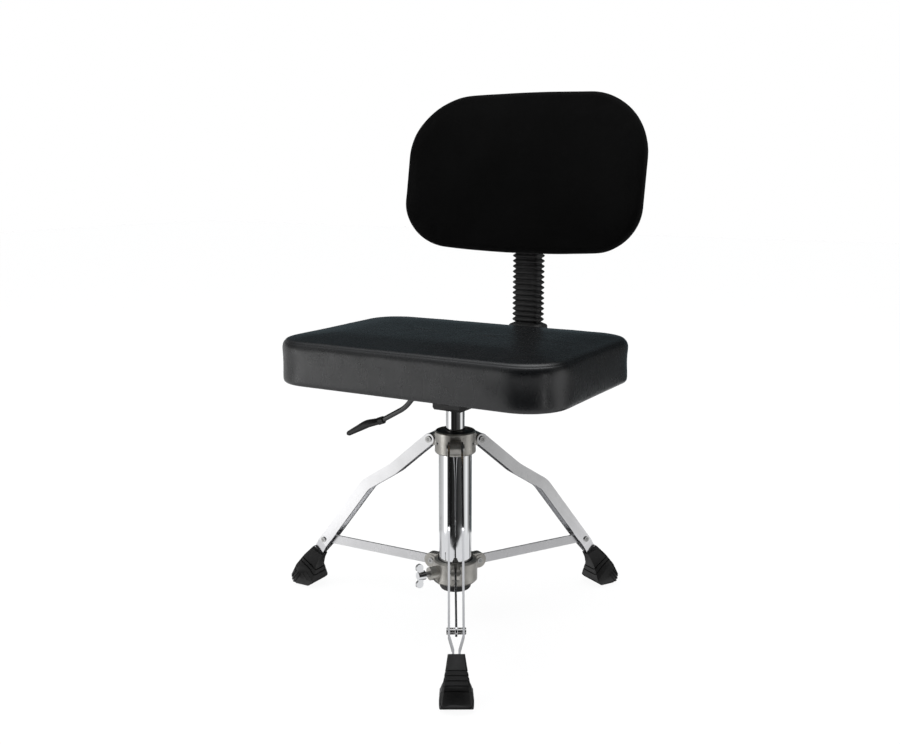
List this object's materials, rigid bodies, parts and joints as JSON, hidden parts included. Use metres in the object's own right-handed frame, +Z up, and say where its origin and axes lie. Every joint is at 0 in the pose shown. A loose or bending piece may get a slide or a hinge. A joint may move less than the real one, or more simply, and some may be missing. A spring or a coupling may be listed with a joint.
{
  "type": "cello chair",
  "caption": "Padded task chair with a bellows-covered back bar, on a gas spring in a folding tripod with rubber feet.",
  "frame": {"origin": "on the floor, at the middle of the column that stands in the tripod", "axes": "+Z up; -Y is the seat's front, and +X is to the right for a viewer who faces that front"},
  "size_m": [0.54, 0.5637, 0.8067],
  "materials": {
    "chrome_column": "polished chrome plate",
    "chrome_tube": "polished chrome plate",
    "cast_collar": "satin cast, grey",
    "leg_steel": "bright zinc plate",
    "brace_steel": "bright zinc plate",
    "rivet_steel": "plain turned steel",
    "inner_steel": "machined",
    "black_steel": "satin black powder coat",
    "dark_rod": "dark plated rod",
    "black_plastic": "fine moulded grain",
    "shell_plastic": "grained moulding",
    "liner_plastic": "plain moulding",
    "foot_rubber": "moulded, slightly chalky",
    "bump_rubber": "plain",
    "bellows_rubber": "soft satin",
    "plywood": "sanded birch ply",
    "foam": "open cell foam",
    "seat_vinyl": "satin black vinyl",
    "back_fabric": "black woven cloth",
    "dust_cloth": "thin black cloth"
  },
  "bodies": {
    "base": {"column_tube": "chrome_column", "column_cap": "black_plastic", "upper_collar": "cast_collar", "collar_screws": "inner_steel", "guide_bushing": "black_plastic", "leg_pivot_pins": "rivet_steel", "thrust_race": "inner_steel"},
    "swivel": {"piston_rod": "inner_steel", "piston_head": "inner_steel", "bump_stop": "bump_rubber", "thrust_balls": "inner_steel", "rod_clip": "inner_steel"},
    "seat": {"pressure_tube": "chrome_tube", "rod_guide": "inner_steel", "taper_socket": "black_steel", "mechanism_pan": "black_steel", "mechanism_bolts": "rivet_steel", "t_nuts": "inner_steel", "lever_bracket": "black_steel", "lever_pin": "inner_steel", "seat_board": "plywood", "seat_foam": "foam", "seat_cover": "seat_vinyl", "dust_cover": "dust_cloth"},
    "valve": {"valve_pin": "inner_steel"},
    "lever": {"lever_rod": "dark_rod", "lever_grip": "black_plastic"},
    "back_bar": {"back_arm": "black_steel", "bellows": "bellows_rubber"},
    "depth_screw": {"depth_knob": "black_plastic", "depth_stud": "inner_steel"},
    "backrest": {"back_board": "plywood", "back_foam": "foam", "back_cover": "back_fabric", "back_shell": "shell_plastic", "back_bracket": "black_steel", "bracket_screws": "rivet_steel"},
    "height_screw": {"height_knob": "black_plastic", "height_stud": "inner_steel"},
    "runner": {"lower_collar": "cast_collar", "collar_liner": "liner_plastic", "brace_pins": "rivet_steel"},
    "wing_screw": {"wing_head": "chrome_tube", "wing_stud": "inner_steel"},
    "front_leg": {"leg_front_bars": "leg_steel", "leg_front_rivets": "rivet_steel", "foot_front": "foot_rubber"},
    "right_leg": {"leg_right_bars": "leg_steel", "leg_right_rivets": "rivet_steel", "foot_right": "foot_rubber"},
    "left_leg": {"leg_left_bars": "leg_steel", "leg_left_rivets": "rivet_steel", "foot_left": "foot_rubber"},
    "front_brace": {"brace_front": "brace_steel"},
    "right_brace": {"brace_right": "brace_steel"},
    "left_brace": {"brace_left": "brace_steel"}
  },
  "joints": [
    {"name": "seat_swivel", "type": "hinge", "parent": "base", "child": "swivel", "pos_m": [0, 0, 0], "axis": [0, 0, 1], "continuous": true},
    {"name": "seat_height", "type": "slide", "parent": "swivel", "child": "seat", "axis": [0, 0, 1], "range_m": [0, 0.12]},
    {"name": "lever_lift", "type": "hinge", "parent": "seat", "child": "lever", "pos_m": [-0.013, 0, 0.3653], "axis": [0, 1, 0], "range_deg": [0, 6], "stiffness_Nm_per_rad": 1},
    {"name": "valve_press", "type": "slide", "parent": "seat", "child": "valve", "axis": [0, 0, -1], "range_m": [0, 0.0015]},
    {"name": "back_depth", "type": "slide", "parent": "seat", "child": "back_bar", "axis": [0, 1, 0], "range_m": [-0.025, 0.025]},
    {"name": "depth_knob_turn", "type": "hinge", "parent": "seat", "child": "depth_screw", "pos_m": [0, 0.112, 0.34], "axis": [0, 0, 1], "continuous": true},
    {"name": "back_height", "type": "slide", "parent": "back_bar", "child": "backrest", "axis": [0, 0.1822, 0.9833], "range_m": [-0.03, 0.03], "deforming": ["bellows"]},
    {"name": "height_knob_turn", "type": "hinge", "parent": "backrest", "child": "height_screw", "pos_m": [0, 0.26525, 0.63478], "axis": [0, 0.9833, -0.1822], "continuous": true},
    {"name": "runner_slide", "type": "slide", "parent": "base", "child": "runner", "axis": [0, 0, 1], "range_m": [0, 0.1159]},
    {"name": "wing_turn", "type": "hinge", "parent": "runner", "child": "wing_screw", "pos_m": [0, 0, 0.079], "axis": [-0.4924, -0.8704, 0], "continuous": true},
    {"name": "front_leg_fold", "type": "hinge", "parent": "base", "child": "front_leg", "pos_m": [0.02056, -0.0349, 0.282], "axis": [0.8616, 0.5075, 0], "range_deg": [0, 38.5]},
    {"name": "right_leg_fold", "type": "hinge", "parent": "base", "child": "right_leg", "pos_m": [0.01994, 0.03525, 0.282], "axis": [-0.8704, 0.4924, 0], "range_deg": [0, 38.6]},
    {"name": "left_leg_fold", "type": "hinge", "parent": "base", "child": "left_leg", "pos_m": [-0.0405, -0.00035, 0.282], "axis": [0.0087, -1, 0], "range_deg": [0, 38.6]},
    {"name": "front_brace_turn", "type": "hinge", "parent": "runner", "child": "front_brace", "pos_m": [0.0203, -0.03447, 0.0865], "axis": [0.8616, 0.5075, 0], "range_deg": [0, 79.6]},
    {"name": "right_brace_turn", "type": "hinge", "parent": "runner", "child": "right_brace", "pos_m": [0.0197, 0.03481, 0.0865], "axis": [-0.8704, 0.4924, 0], "range_deg": [0, 79.6]},
    {"name": "left_brace_turn", "type": "hinge", "parent": "runner", "child": "left_brace", "pos_m": [-0.04, -0.00035, 0.0865], "axis": [0.0087, -1, 0], "range_deg": [0, 79.6]}
  ],
  "couplings": [
    {"joint": "valve_press", "follows": "lever_lift", "m_per_rad": 0.0137},
    {"joint": "right_leg_fold", "follows": "front_leg_fold", "ratio": 1},
    {"joint": "left_leg_fold", "follows": "front_leg_fold", "ratio": 1},
    {"joint": "runner_slide", "follows": "front_leg_fold", "m_per_rad": 0.17212},
    {"joint": "front_brace_turn", "follows": "front_leg_fold", "ratio": 2.0615},
    {"joint": "right_brace_turn", "follows": "front_leg_fold", "ratio": 2.0615},
    {"joint": "left_brace_turn", "follows": "front_leg_fold", "ratio": 2.0615}
  ]
}
